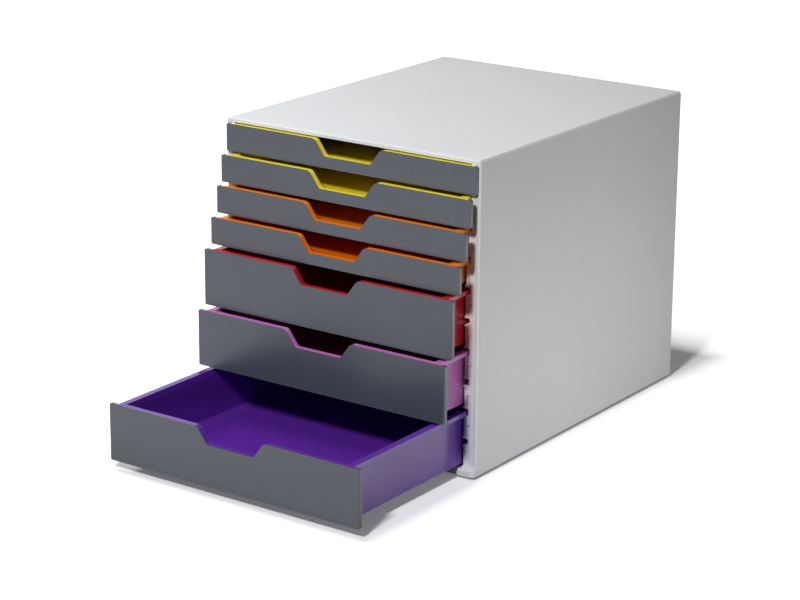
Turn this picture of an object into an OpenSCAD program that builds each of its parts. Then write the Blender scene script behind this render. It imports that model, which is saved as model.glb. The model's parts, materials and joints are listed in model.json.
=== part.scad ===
// Desktop drawer unit: a grey casing on rubber feet, with four shallow and three deep
// drawers. Each drawer is a coloured tray with a slate grey front, and its rim slides in
// grooves of the two runner panels. X runs across the unit, the front looks towards -Y,
// and the feet stand on Z = 0. Every piece is drawn with the casing's front edge at Y = 0
// and is then moved back so that the origin lies under the middle of the whole unit.

/* [Casing] */
// Width across the outer shell
case_w = 280; // [260:1:340]
// Depth of the outer shell, from its front edge to its rear edge
case_d = 351; // [330:1:420]
// Thickness of the shell's side walls
wall_t = 2.5; // [2:0.1:4]
// Thickness of the shell's roof
roof_t = 3; // [2:0.1:5]
// Radius of the shell's long top edges
roof_edge_r = 3; // [1:0.5:6]
// Radius of the shell's front edges
shell_lip_r = 1.4; // [0.5:0.1:2]
// Depth of the header bar under the roof's front edge
header_d = 3; // [2:0.5:6]
// Gap between the header bar and the highest drawer front
header_gap = 1.2; // [0.3:0.1:1.3]

/* [Base] */
// Height of the base plate, which is also the height of its front sill
base_h = 6; // [5:0.5:12]
// How far the sill stands out in front of the shell
sill_out = 5; // [4:0.5:8]
// Radius of the sill's upper front edge
sill_edge_r = 1.2; // [0.5:0.1:2]
// Thickness of the base plate's top skin
base_skin = 2.5; // [2:0.1:4]
// Thickness of the base plate's skirt and of the ribs below it
base_rib_t = 2; // [1.5:0.1:4]
// Cells between the base plate's ribs, side to side
base_cells_x = 4; // [2:1:6]
// Cells between the base plate's ribs, front to back
base_cells_y = 5; // [2:1:8]
// Height of the rubber feet
foot_h = 3; // [2:0.5:6]
// Radius of the rubber feet
foot_r = 8; // [6:0.5:12]
// Distance from the casing's sides to the centre of each foot
foot_inset = 24; // [18:1:60]

/* [Back] */
// Thickness of the back panel
back_t = 2.5; // [2:0.1:4]
// How far the back panel lies inside the shell's rear edge
back_inset = 3; // [2.5:0.1:8]
// Margin around the back panel's sunk field
field_margin = 20; // [14:1:60]
// Depth of the back panel's sunk field
field_depth = 0.8; // [0.3:0.1:1.2]
// Corner radius of the sunk field
field_r = 8; // [3:1:20]

/* [Drawer stack] */
// Height of one drawer unit, and the pitch of the grooves
unit_h = 28; // [26:0.5:36]
// Gap above each drawer front, up to the end of its unit
front_top_gap = 1; // [0.6:0.1:2]
// Gap below each drawer front, down to the end of its unit
front_bottom_gap = 1.4; // [0.6:0.1:2.5]
// Gap between the lowest front and the sill
sill_gap = 0.4; // [0.3:0.1:2]
// Room between the highest unit and the roof
roof_room = 1; // [0.8:0.1:3]
// Gap between a closed drawer front and the casing's front edge
seat_gap = 0.2; // [0.1:0.1:1]
// How far a drawer slides from shut to its stop
travel = 235; // [120:1:260]

/* [Drawers as they stand] */
// How far drawer 1, at the top, is open
pull_1 = 0; // [0:1:120]
// How far drawer 2 is open
pull_2 = 8; // [0:1:120]
// How far drawer 3 is open
pull_3 = 15; // [0:1:120]
// How far drawer 4 is open
pull_4 = 24; // [0:1:120]
// How far drawer 5 is open
pull_5 = 34; // [0:1:120]
// How far drawer 6 is open
pull_6 = 44; // [0:1:120]
// How far drawer 7, at the bottom, is open
pull_7 = 168; // [120:1:200]

/* [Drawer fronts] */
// Thickness of the grey front panel
front_t = 3.8; // [3:0.1:6]
// How far the front panel's ends lie inside the shell's sides
front_side_inset = 1.6; // [0.5:0.1:4]
// Radius of the front panel's four corners
front_corner_r = 2.5; // [1:0.5:3]
// Radius of the front panel's upright edges
front_edge_r = 1.6; // [0.5:0.1:2.5]
// Width of the finger notch at its mouth
notch_mouth_w = 73; // [50:1:110]
// Width of the finger notch at its bottom
notch_floor_w = 51; // [30:1:70]
// Depth of the finger notch
notch_depth = 15; // [8:0.5:16]
// Radius where the notch meets the front's top edge
notch_mouth_r = 6; // [3:0.5:10]
// Radius in the bottom corners of the notch
notch_floor_r = 4; // [2:0.5:8]

/* [Trays] */
// Length of a tray from its front wall to its rear wall
tray_l = 340; // [300:1:410]
// Thickness of the tray's walls
tray_wall = 2; // [1.5:0.1:3]
// Thickness of the tray's front wall, behind the grey panel
tray_front_wall = 2.4; // [1.6:0.1:4]
// Thickness of the tray's floor
tray_floor = 2; // [1.5:0.1:3]
// Room below a tray, down to the end of its unit
tray_bottom_gap = 3.5; // [3:0.1:6]
// Gap between the tray's side and the runner panel
tray_side_gap = 1; // [0.5:0.1:3]
// Radius of the tray's long bottom edges
tray_edge_r = 2; // [1:0.5:4]
// Width of the sloping margin along each side of the tray's floor
ramp_w = 11; // [5:1:30]
// Height of the sloping margin at the tray's side
ramp_h = 3; // [1:0.5:5]
// Height of the rolled rim that runs in the groove
rim_h = 4.2; // [3:0.1:4.6]
// Thickness of the rolled rim's skin
rim_skin = 1.6; // [1.2:0.1:2]
// Thickness of the coloured lip that covers the grey front's top edge
lip_t = 1.4; // [0.8:0.1:2]
// How far the lip starts behind the grey front's face
lip_setback = 0.8; // [0.6:0.1:1.5]
// How far the lip's ends lie inside the ends of the grey front
lip_end_inset = 4; // [3:0.5:8]
// Step in the inner side of a tray's wall, level with the foot of its rim
wall_step = 0.5; // [0.2:0.1:0.8]
// How far the rear rim stands out behind the tray's rear wall
rear_rim_out = 2.5; // [1:0.5:6]

/* [Runner panels] */
// Width of the runner panel, from the drawer opening to the shell
runner_w = 11.8; // [11:0.1:18]
// Thickness of the runner panel's front plate
stile_t = 3; // [2.5:0.1:6]
// Thickness of the web and of the ribs on its outer side
web_t = 2; // [1.5:0.1:3]
// Depth of the grooves
groove_depth = 5.7; // [5:0.1:7]
// Height of the grooves
groove_h = 6.5; // [6.3:0.1:7.5]
// Radius in the two corners of a groove's floor
groove_r = 1.8; // [0.5:0.1:2]
// Thickness of the ledges above and below each groove
ledge_t = 1.6; // [1.2:0.1:2.5]
// Clearance between the tray's rim and the groove's lower ledge
rim_clear = 0.3; // [0.2:0.1:0.6]
// Width of the sunk strip beside the drawer opening
strip_w = 3.5; // [2:0.1:5]
// Depth of the sunk strip
strip_depth = 1.6; // [0.8:0.1:2]
// Number of upright ribs on the runner panel's outer side
runner_ribs = 3; // [1:1:6]

/* [Drawer stops] */
// Distance from the casing's front edge to the stop nib
nib_y = 5; // [4:0.5:12]
// Length of the stop nib and of the lug that it holds
nib_l = 4; // [3:0.5:8]
// How far the nib stands out of the groove's floor
nib_out = 2; // [1.7:0.1:2.4]
// Height of the lug on the tray's rim
lug_h = 1.2; // [0.8:0.1:1.3]
// Width of the lug on the tray's rim
lug_w = 2.4; // [1.6:0.1:4]
// Width of the slit that frees the stop's tongue
slit_w = 0.8; // [0.5:0.1:1.2]
// Height of the stop's tongue
tongue_h = 11; // [6:0.5:14]
// Length of the tongue's upper slit
tongue_w = 4; // [2:0.5:5]

/* [Screws and clips] */
// Radius of the screws' shanks
screw_r = 1.2; // [1:0.1:1.4]
// Length of the screws' shanks
screw_l = 10; // [8:0.5:16]
// Radius of the screws' heads
screw_head_r = 2.6; // [2.2:0.1:2.8]
// Height of the screws' heads
screw_head_h = 1.8; // [1.2:0.1:2.2]
// Depth of the cross recess in the screws' heads
screw_cross_d = 0.9; // [0.5:0.1:1.1]
// Screws in each side of the back panel
back_screws_side = 3; // [2:1:5]
// Radius of the bosses that take the screws
boss_r = 3; // [2.6:0.1:3]
// Distance from the shell's ends to the outermost screws
screw_inset = 40; // [34:1:70]
// Width of the clips that hold a grey front on its tray
clip_w = 9; // [5:0.5:16]
// Thickness of the clips
clip_t = 1.6; // [1.2:0.1:2.2]
// Height of the hook at the end of a clip
clip_hook = 0.9; // [0.5:0.1:1.2]
// Distance from the middle of the drawer to each clip
clip_x = 80; // [65:1:100]

/* [Clearances] */
// Clearance between pieces that are fitted together
fit = 0.2; // [0.1:0.05:0.4]
// Clearance of a screw's shank in its boss, and of a foot's stem in its hole
bore_clear = 0.1; // [0.05:0.05:0.3]
// Gap between the coloured lip and the grey front around it
lip_gap = 0.15; // [0.1:0.05:0.3]
// Radius of the small edges of the mouldings
small_r = 0.4; // [0.2:0.1:0.6]

/* [Hidden] */

// Overrun of every cut past the face that it opens
over = 0.5;
// Segments in the arc of a rounded corner
arc_steps = 6;
// Faces of screws, bosses and feet
round_fn = 48;

// Units that each drawer takes, from the top down
drawer_units = [1, 1, 1, 1, 2, 2, 2];
pulls = [pull_1, pull_2, pull_3, pull_4, pull_5, pull_6, pull_7];
tray_colours = [
    "#f2d65a", "#f0cf4a", "#e8863a", "#e2703a", "#cf3a4c", "#b4509c", "#5b2a90"];
casing_colour = "#c9cbcf";
front_colour = "#5d626a";

function sum_to(list, n) = n == 0 ? 0 : list[n - 1] + sum_to(list, n - 1);
units = sum_to(drawer_units, len(drawer_units));

// Heights of the casing, from the table up
base_top = foot_h + base_h;
stack_z = base_top + sill_gap - front_bottom_gap;
stack_top = stack_z + units * unit_h;
roof_z = stack_top + roof_room;
case_h = roof_z + roof_t;
header_z = stack_top - front_top_gap + header_gap;

// Widths of the casing, from its middle outwards
shell_in = case_w / 2 - wall_t;
runner_out = shell_in - fit;
open_half = runner_out - runner_w;
groove_floor = open_half + groove_depth;

// The back panel stands behind the runner panels
back_y = case_d - back_inset - back_t;
runner_l = back_y - fit;
runner_top = roof_z - fit;
rear_plate_t = web_t;

// Trays, drawn shut
tray_half = open_half - tray_side_gap;
rim_half = groove_floor - tray_side_gap - fit;
panel_y = -seat_gap - front_t;
rim_drop = front_top_gap + lip_gap;
groove_drop = rim_drop + rim_h + rim_clear;
lip_y = panel_y + lip_setback;

// Stops: the nib hangs over the passing rim, and the lug on the rim meets it
nib_clear = rim_clear;
nib_h = groove_h - rim_h - rim_clear - nib_clear - fit;
lug_y = nib_y + nib_l + travel + fit;

// Screws and feet
screw_x = open_half + runner_w / 2;
boss_l = screw_l;
foot_stem_share = 0.35;
foot_stem_r = foot_r * foot_stem_share;
foot_stem_h = base_h - base_skin;
foot_bevel_share = 0.25;
foot_bevel = foot_h * foot_bevel_share;
// A foot's boss is a little wider than the foot
foot_boss_r = foot_r + small_r;

// The middle of the whole unit, with its drawers as they stand
origin_y = (case_d + panel_y - max(pulls)) / 2;

// Points of an arc of radius r that rounds the corner b between a and c
function corner(a, b, c, r) =
    let (
        u = (a - b) / norm(a - b),
        v = (c - b) / norm(c - b),
        half = acos(u * v) / 2,
        room = min(norm(a - b), norm(c - b)) / 2,
        fits = min(r, room * tan(half)),
        centre = b + (u + v) / norm(u + v) * fits / sin(half),
        from = b + u * fits / tan(half) - centre,
        to = b + v * fits / tan(half) - centre,
        start = atan2(from[1], from[0]),
        turn = (atan2(to[1], to[0]) - start + 540) % 360 - 180
    )
    [for (k = [0:arc_steps])
        centre + fits * [cos(start + turn * k / arc_steps), sin(start + turn * k / arc_steps)]];

// Outline through points, with each corner rounded to its own radius, or sharp at 0
function rounded(points, radii) =
    let (n = len(points))
    [for (k = [0:n - 1])
        each radii[k] == 0
            ? [points[k]]
            : corner(points[(k + n - 1) % n], points[k], points[(k + 1) % n], radii[k])];

// Moves a piece from the casing's own frame to the part's frame
module placed() {
    translate([0, -origin_y, 0]) children();
}

// Extrudes an outline drawn in X and Z backwards, from y to y + depth
module slab(y, depth) {
    translate([0, y + depth, 0]) rotate([90, 0, 0]) linear_extrude(depth) children();
}

// Extrudes an outline drawn in Y and Z along X, over a width centred on the middle
module along_x(width) {
    rotate([90, 0, 90]) translate([0, 0, -width / 2]) linear_extrude(width) children();
}

// Draws a piece and its mirror image on the other side of the middle
module mirrored_pair() {
    children();
    mirror([1, 0, 0]) children();
}

// Casing

module shell_section() {
    half = case_w / 2;
    inner_r = max(roof_edge_r - wall_t, small_r);
    polygon(rounded(
        [[-half, foot_h], [-half, case_h], [half, case_h], [half, foot_h],
         [shell_in, foot_h], [shell_in, roof_z], [-shell_in, roof_z], [-shell_in, foot_h]],
        [0, roof_edge_r, roof_edge_r, 0, 0, inner_r, inner_r, 0]));
}

// Side view that rounds the roof's front edge
module shell_side_view() {
    polygon(rounded(
        [[0, 0], [case_d, 0], [case_d, case_h], [0, case_h]],
        [0, 0, 0, shell_lip_r]));
}

// Plan that rounds the front edges of the shell's sides
module shell_plan() {
    half = case_w / 2;
    polygon(rounded(
        [[-half, 0], [half, 0], [half, case_d], [-half, case_d]],
        [shell_lip_r, shell_lip_r, 0, 0]));
}

module outer_shell() {
    color(casing_colour) placed() intersection() {
        union() {
            slab(0, case_d) shell_section();
            // Header bar under the roof's front edge
            translate([-shell_in - wall_t / 2, 0, header_z])
                cube([2 * shell_in + wall_t, header_d, roof_z + roof_t / 2 - header_z]);
        }
        linear_extrude(case_h) shell_plan();
        along_x(case_w) shell_side_view();
    }
}

// Places of the four feet
module at_feet() {
    for (x = [-1, 1] * (case_w / 2 - foot_inset))
        for (y = [foot_inset, case_d - foot_inset])
            translate([x, y, 0]) children();
}

// Places of the screws that hold the base plate to the runner panels
module at_base_screws() {
    for (x = [-screw_x, screw_x])
        for (y = [screw_inset, case_d - screw_inset])
            translate([x, y, 0]) children();
}

// Outline of the base plate from above: between the shell's sides, with the sill in front
module base_plan() {
    half = case_w / 2;
    translate([-runner_out, -sill_out / 2])
        square([2 * runner_out, back_y + back_t + sill_out / 2]);
    intersection() {
        polygon(rounded(
            [[-half, sill_out], [-half, -sill_out], [half, -sill_out], [half, sill_out]],
            [0, sill_out, sill_out, 0]));
        translate([-half, -sill_out]) square([2 * half, sill_out]);
    }
}

// Side view of the base plate, which rounds the sill's upper front edge
module base_side_view() {
    polygon(rounded(
        [[-sill_out, foot_h], [case_d, foot_h], [case_d, base_top], [-sill_out, base_top]],
        [0, 0, 0, sill_edge_r]));
}

module base_plate() {
    hollow_w = 2 * runner_out - 2 * base_rib_t;
    hollow_d = sill_out + back_y + back_t - 2 * base_rib_t;
    cell_w = (hollow_w - (base_cells_x - 1) * base_rib_t) / base_cells_x;
    cell_d = (hollow_d - (base_cells_y - 1) * base_rib_t) / base_cells_y;
    cell_h = base_h - base_skin;
    color(casing_colour) placed() difference() {
        union() {
            difference() {
                intersection() {
                    translate([0, 0, foot_h]) linear_extrude(base_h) base_plan();
                    along_x(case_w) base_side_view();
                }
                // Hollow cells below the skin, between the ribs
                for (i = [0:base_cells_x - 1])
                    for (j = [0:base_cells_y - 1])
                        translate([
                            -hollow_w / 2 + i * (cell_w + base_rib_t),
                            -sill_out + base_rib_t + j * (cell_d + base_rib_t),
                            foot_h - over])
                            cube([cell_w, cell_d, cell_h + over]);
            }
            at_feet() translate([0, 0, foot_h])
                cylinder(h = cell_h + base_skin / 2, r = foot_boss_r, $fn = round_fn);
        }
        at_feet() translate([0, 0, foot_h - over])
            cylinder(h = foot_stem_h + fit + over, r = foot_stem_r + bore_clear, $fn = round_fn);
        at_base_screws() translate([0, 0, base_top - base_skin - over])
            cylinder(h = base_skin + 2 * over, r = screw_r + fit, $fn = round_fn);
        // Room for the screw heads where they meet a rib
        at_base_screws() translate([0, 0, foot_h - over])
            cylinder(h = cell_h + over, r = screw_head_r + fit, $fn = round_fn);
    }
}

module feet() {
    color("#2c2c2e") placed() at_feet() rotate_extrude($fn = round_fn)
        polygon([
            [0, 0], [foot_r - foot_bevel, 0], [foot_r, foot_bevel], [foot_r, foot_h],
            [foot_stem_r, foot_h], [foot_stem_r, foot_h + foot_stem_h], [0, foot_h + foot_stem_h]]);
}

// Heights of the screws in the back panel, each midway between two grooves
function back_screw_z(k) =
    groove_z(1 + round(k * (units - 2) / (back_screws_side - 1))) + (groove_h + unit_h) / 2;

module at_back_screws() {
    for (x = [-screw_x, screw_x])
        for (k = [0:back_screws_side - 1])
            translate([x, 0, back_screw_z(k)]) children();
}

module back_panel() {
    field_x = shell_in - field_margin;
    field_low = base_top + field_margin;
    field_high = roof_z - field_margin;
    color(casing_colour) placed() difference() {
        translate([-runner_out, back_y, base_top])
            cube([2 * runner_out, back_t, roof_z - fit - base_top]);
        slab(back_y + back_t - field_depth, field_depth + over)
            polygon(rounded(
                [[-field_x, field_low], [field_x, field_low],
                 [field_x, field_high], [-field_x, field_high]],
                [field_r, field_r, field_r, field_r]));
        at_back_screws() translate([0, back_y - over, 0]) rotate([-90, 0, 0])
            cylinder(h = back_t + 2 * over, r = screw_r + fit, $fn = round_fn);
    }
}

// Runner panels

// Height of the groove that holds the rim of a tray whose unit ends k units up
function groove_z(k) = stack_z + k * unit_h - groove_drop;

// Groove of a runner panel with a rounded floor, or with grow the wall that surrounds it
module groove(z, y, length, grow) {
    width = groove_depth + over;
    translate([open_half - over, y, z - grow])
        cube([width - groove_r, length, groove_h + 2 * grow]);
    translate([open_half - over, y, z + groove_r])
        cube([width, length, groove_h - 2 * groove_r]);
    for (h = [groove_r, groove_h - groove_r])
        translate([groove_floor - groove_r, y, z + h]) rotate([-90, 0, 0])
            cylinder(h = length, r = groove_r + grow, $fn = round_fn);
}

// L-shaped slit that frees the tongue of the stop above a groove
module tongue_slit(z) {
    slit_x = open_half + strip_w + small_r;
    translate([slit_x, -over, z]) cube([slit_w, stile_t + 2 * over, tongue_h]);
    translate([slit_x, -over, z + tongue_h - slit_w])
        cube([tongue_w, stile_t + 2 * over, slit_w]);
}

module runner() {
    height = runner_top - base_top;
    rib_step = (runner_l - stile_t - rear_plate_t) / (runner_ribs + 1);
    difference() {
        intersection() {
            union() {
                // Front plate, rear plate and the web between them
                translate([open_half, 0, base_top]) cube([runner_w, stile_t, height]);
                translate([open_half, runner_l - rear_plate_t, base_top])
                    cube([runner_w, rear_plate_t, height]);
                translate([groove_floor, 0, base_top]) cube([web_t, runner_l, height]);
                // Rails and ribs on the outer side
                for (z = [base_top, runner_top - web_t])
                    translate([groove_floor, 0, z])
                        cube([runner_out - groove_floor, runner_l, web_t]);
                for (k = [1:runner_ribs])
                    translate([groove_floor, stile_t + k * rib_step - web_t / 2, base_top])
                        cube([runner_out - groove_floor, web_t, height]);
                // Ledges around the grooves, which carry the rims
                for (k = [1:units])
                    groove(groove_z(k), 0, runner_l, ledge_t);
                // Bosses for the screws of the back panel and of the base plate
                for (k = [0:back_screws_side - 1])
                    translate([screw_x, runner_l - boss_l, back_screw_z(k)]) rotate([-90, 0, 0])
                        cylinder(h = boss_l, r = boss_r, $fn = round_fn);
                for (y = [screw_inset, case_d - screw_inset])
                    translate([screw_x, y, base_top])
                        cylinder(h = boss_l, r = boss_r, $fn = round_fn);
            }
            translate([open_half, 0, base_top]) cube([runner_w, runner_l, height]);
        }
        for (k = [1:units])
            groove(groove_z(k), -over, runner_l + over - rear_plate_t, 0);
        // Sunk strips beside the opening, between one groove's ledge and the next
        for (k = [0:units - 1]) {
            low = k == 0 ? base_top + ledge_t : groove_z(k) + groove_h + ledge_t;
            translate([open_half - over, -over, low])
                cube([strip_w + over, strip_depth + over, groove_z(k + 1) - ledge_t - low]);
        }
        for (k = [1:units - 1])
            tongue_slit(groove_z(k) + groove_h + ledge_t);
        // Notch that lets the shell's header bar pass over the front plate
        translate([open_half - over, -over, header_z - fit])
            cube([runner_w + 2 * over, header_d + fit + over, runner_top - header_z + fit + over]);
        for (k = [0:back_screws_side - 1])
            translate([screw_x, runner_l - boss_l - over, back_screw_z(k)]) rotate([-90, 0, 0])
                cylinder(h = boss_l + 2 * over, r = screw_r + bore_clear, $fn = round_fn);
        for (y = [screw_inset, case_d - screw_inset])
            translate([screw_x, y, base_top - over])
                cylinder(h = boss_l + 2 * over, r = screw_r + bore_clear, $fn = round_fn);
    }
    // Nibs that stop the drawers, on the floor of each groove
    for (k = [1:units])
        translate([groove_floor - nib_out, nib_y, groove_z(k) + rim_clear + rim_h + nib_clear])
            cube([nib_out + web_t / 2, nib_l, nib_h]);
}

module right_runner() {
    color(casing_colour) placed() runner();
}

module left_runner() {
    color(casing_colour) placed() mirror([1, 0, 0]) runner();
}

// Screws

// Pan-head screw along -Z, with its head's seat at Z = 0
module screw() {
    slot_w = screw_r / 2;
    slot_l = screw_head_r;
    difference() {
        union() {
            cylinder(h = screw_head_h, r = screw_head_r, $fn = round_fn);
            translate([0, 0, -screw_l]) cylinder(h = screw_l + over, r = screw_r, $fn = round_fn);
        }
        for (turn = [0, 90])
            rotate([0, 0, turn]) translate([-slot_l / 2, -slot_w / 2, screw_head_h - screw_cross_d])
                cube([slot_l, slot_w, screw_cross_d + over]);
    }
}

module back_screws() {
    color("#8d8f93") placed() at_back_screws()
        translate([0, back_y + back_t, 0]) rotate([-90, 0, 0]) screw();
}

module base_screws() {
    color("#8d8f93") placed() at_base_screws()
        translate([0, 0, base_top - base_skin]) rotate([180, 0, 0]) screw();
}

// Drawers

function unit_top(k) = stack_top - sum_to(drawer_units, k - 1) * unit_h;
function unit_bottom(k) = unit_top(k) - drawer_units[k - 1] * unit_h;
front_w = case_w - 2 * front_side_inset;

// Front of drawer k in X and Z, with its top edge and its notch moved inwards by inset
module front_outline(k, inset) {
    low = unit_bottom(k) + front_bottom_gap;
    high = unit_top(k) - front_top_gap - inset;
    lean = (notch_mouth_w - notch_floor_w) / 2;
    slope_l = norm([lean, notch_depth]);
    widen = inset * (slope_l - lean) / notch_depth;
    mouth = notch_mouth_w / 2 + widen;
    floor_half = notch_floor_w / 2 + widen;
    polygon(rounded(
        [[-front_w / 2, low], [front_w / 2, low], [front_w / 2, high],
         [mouth, high], [floor_half, high - notch_depth],
         [-floor_half, high - notch_depth], [-mouth, high], [-front_w / 2, high]],
        [front_corner_r, front_corner_r, front_corner_r,
         notch_mouth_r - inset, notch_floor_r + inset,
         notch_floor_r + inset, notch_mouth_r - inset, front_corner_r]));
}

// Band across drawer k that the coloured lip takes, with its ends moved in by trim
module lip_band(k, trim) {
    half = front_w / 2 - lip_end_inset - trim;
    low = unit_bottom(k) + front_bottom_gap;
    translate([-half, low]) square([2 * half, unit_top(k) - low]);
}

// Plan of a grey front, with its upright edges rounded
module front_plan() {
    polygon(rounded(
        [[-front_w / 2, panel_y], [front_w / 2, panel_y],
         [front_w / 2, -seat_gap], [-front_w / 2, -seat_gap]],
        [front_edge_r, front_edge_r, small_r, small_r]));
}

function clip_z(k) = unit_bottom(k) + tray_bottom_gap + tray_floor + ramp_h + clip_t;

module front(k) {
    color(front_colour) placed() translate([0, -pulls[k - 1], 0]) {
        difference() {
            intersection() {
                slab(panel_y, front_t) front_outline(k, 0);
                translate([0, 0, unit_bottom(k)])
                    linear_extrude(unit_top(k) - unit_bottom(k)) front_plan();
            }
            // Top edge and notch, cut back behind the face to make room for the lip
            slab(lip_y - fit, front_t) difference() {
                lip_band(k, 0);
                front_outline(k, 2 * lip_gap + lip_t);
            }
        }
        // Clips that hook behind the tray's front wall
        for (x = [-clip_x, clip_x])
            translate([x - clip_w / 2, -seat_gap - over, clip_z(k)]) {
                cube([clip_w, tray_front_wall + fit + clip_t + over, clip_t]);
                translate([0, tray_front_wall + fit + over, 0])
                    cube([clip_w, clip_t, clip_t + clip_hook]);
            }
    }
}

// Cross-section of a tray in X and Z: floor with sloping margins, sides and rolled rims
module tray_section(k) {
    rim = unit_top(k) - rim_drop;
    low = unit_bottom(k) + tray_bottom_gap;
    inner = tray_half - tray_wall;
    outer_half = [
        [rim_half, rim], [rim_half, rim - rim_h], [rim_half - rim_skin, rim - rim_h],
        [rim_half - rim_skin, rim - rim_skin], [tray_half, rim - rim_skin], [tray_half, low]];
    inner_half = [
        [inner - ramp_w, low + tray_floor], [inner, low + tray_floor + ramp_h],
        [inner, rim - rim_h], [inner + wall_step, rim - rim_h], [inner + wall_step, rim]];
    outer_r = [small_r, small_r, small_r, 0, 0, tray_edge_r];
    inner_r = [ramp_h, ramp_h / 2, 0, 0, small_r];
    polygon(rounded(
        concat(
            outer_half,
            [for (i = [len(outer_half) - 1:-1:0]) [-outer_half[i][0], outer_half[i][1]]],
            [for (i = [len(inner_half) - 1:-1:0]) [-inner_half[i][0], inner_half[i][1]]],
            inner_half),
        concat(
            outer_r,
            [for (i = [len(outer_r) - 1:-1:0]) outer_r[i]],
            [for (i = [len(inner_r) - 1:-1:0]) inner_r[i]],
            inner_r)));
}

// Outline of a tray's end walls, up to the rim and without the rims' overhang
module tray_end(k) {
    rim = unit_top(k) - rim_drop;
    low = unit_bottom(k) + tray_bottom_gap;
    polygon(rounded(
        [[-tray_half, low], [tray_half, low], [tray_half, rim], [-tray_half, rim]],
        [tray_edge_r, tray_edge_r, 0, 0]));
}

module tray(k) {
    rim = unit_top(k) - rim_drop;
    rear_y = tray_l - seat_gap - tray_wall;
    color(tray_colours[k - 1]) placed() translate([0, -pulls[k - 1], 0]) difference() {
        union() {
            slab(-seat_gap, tray_l) tray_section(k);
            // Front wall, with the finger notch in its top edge
            slab(-seat_gap, tray_front_wall) intersection() {
                tray_end(k);
                front_outline(k, lip_gap);
            }
            slab(rear_y, tray_wall) tray_end(k);
            translate([-rim_half, rear_y, rim - rim_skin])
                cube([2 * rim_half, tray_wall + rear_rim_out, rim_skin]);
            // Lip over the grey front's top edge, along the notch
            slab(lip_y, -lip_y - seat_gap) intersection() {
                difference() {
                    front_outline(k, lip_gap);
                    front_outline(k, lip_gap + lip_t);
                }
                lip_band(k, lip_gap);
            }
            // Lugs that meet the nibs when the drawer is fully out
            mirrored_pair()
                translate([rim_half - lug_w, lug_y, rim - rim_skin / 2])
                    cube([lug_w, nib_l, lug_h + rim_skin / 2]);
        }
        // Slots for the grey front's clips
        for (x = [-clip_x, clip_x])
            translate([x - clip_w / 2 - fit, -seat_gap - over, clip_z(k) - fit])
                cube([clip_w + 2 * fit, tray_front_wall + 2 * over, clip_t + clip_hook + 2 * fit]);
    }
}

module shallow_tray_1() { tray(1); }
module shallow_tray_2() { tray(2); }
module shallow_tray_3() { tray(3); }
module shallow_tray_4() { tray(4); }
module deep_tray_5() { tray(5); }
module deep_tray_6() { tray(6); }
module deep_tray_7() { tray(7); }
module shallow_front_1() { front(1); }
module shallow_front_2() { front(2); }
module shallow_front_3() { front(3); }
module shallow_front_4() { front(4); }
module deep_front_5() { front(5); }
module deep_front_6() { front(6); }
module deep_front_7() { front(7); }

outer_shell();
base_plate();
back_panel();
left_runner();
right_runner();
feet();
back_screws();
base_screws();
shallow_tray_1();
shallow_tray_2();
shallow_tray_3();
shallow_tray_4();
deep_tray_5();
deep_tray_6();
deep_tray_7();
shallow_front_1();
shallow_front_2();
shallow_front_3();
shallow_front_4();
deep_front_5();
deep_front_6();
deep_front_7();
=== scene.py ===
"""Looks of a desktop drawer unit: a light grey casing on rubber feet, slate grey fronts and coloured trays.

The CAD nodes give every shape and place. Most of them are shown here as a merged copy with softened edges.
The drawer fronts, which follow one rule, and the feet and the screws, which repeat, are made again with
Geometry Nodes. Lengths are in metres.
"""

import json
import math

import bmesh
import bpy
from mathutils import Matrix, Vector

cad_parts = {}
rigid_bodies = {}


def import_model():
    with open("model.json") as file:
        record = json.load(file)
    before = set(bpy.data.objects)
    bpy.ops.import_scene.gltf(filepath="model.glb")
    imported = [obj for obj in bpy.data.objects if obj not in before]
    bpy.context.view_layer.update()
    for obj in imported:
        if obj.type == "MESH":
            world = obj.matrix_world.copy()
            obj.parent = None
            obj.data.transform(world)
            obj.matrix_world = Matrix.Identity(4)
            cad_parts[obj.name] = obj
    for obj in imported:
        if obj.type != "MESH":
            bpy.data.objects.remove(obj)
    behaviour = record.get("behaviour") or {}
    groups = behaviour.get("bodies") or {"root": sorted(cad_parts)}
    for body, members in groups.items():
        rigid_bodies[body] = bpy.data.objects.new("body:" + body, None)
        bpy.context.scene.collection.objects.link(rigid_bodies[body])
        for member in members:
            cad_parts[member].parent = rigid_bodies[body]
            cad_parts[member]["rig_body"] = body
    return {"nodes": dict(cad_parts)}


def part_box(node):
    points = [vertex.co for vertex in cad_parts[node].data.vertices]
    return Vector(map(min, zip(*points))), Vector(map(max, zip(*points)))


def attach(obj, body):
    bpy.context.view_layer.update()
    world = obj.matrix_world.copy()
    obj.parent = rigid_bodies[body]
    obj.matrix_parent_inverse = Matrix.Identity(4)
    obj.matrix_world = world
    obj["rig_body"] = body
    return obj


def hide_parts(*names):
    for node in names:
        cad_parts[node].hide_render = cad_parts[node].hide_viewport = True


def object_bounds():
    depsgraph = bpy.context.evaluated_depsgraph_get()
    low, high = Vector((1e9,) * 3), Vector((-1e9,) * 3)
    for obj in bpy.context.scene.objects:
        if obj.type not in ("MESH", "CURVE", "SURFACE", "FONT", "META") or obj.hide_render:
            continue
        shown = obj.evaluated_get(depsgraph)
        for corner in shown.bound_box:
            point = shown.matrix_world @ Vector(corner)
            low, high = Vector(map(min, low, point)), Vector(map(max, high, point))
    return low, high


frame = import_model()
cad_box = [list(corner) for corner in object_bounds()]
MM = 0.001
X, Y, Z = 0, 1, 2


# Materials

def linear(code):
    """An sRGB hex colour as the linear RGBA that Blender's sockets take."""
    channels = [int(code[i:i + 2], 16) / 255 for i in (1, 3, 5)]
    return (*(c / 12.92 if c <= 0.04045 else ((c + 0.055) / 1.055) ** 2.4 for c in channels), 1.0)


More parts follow.
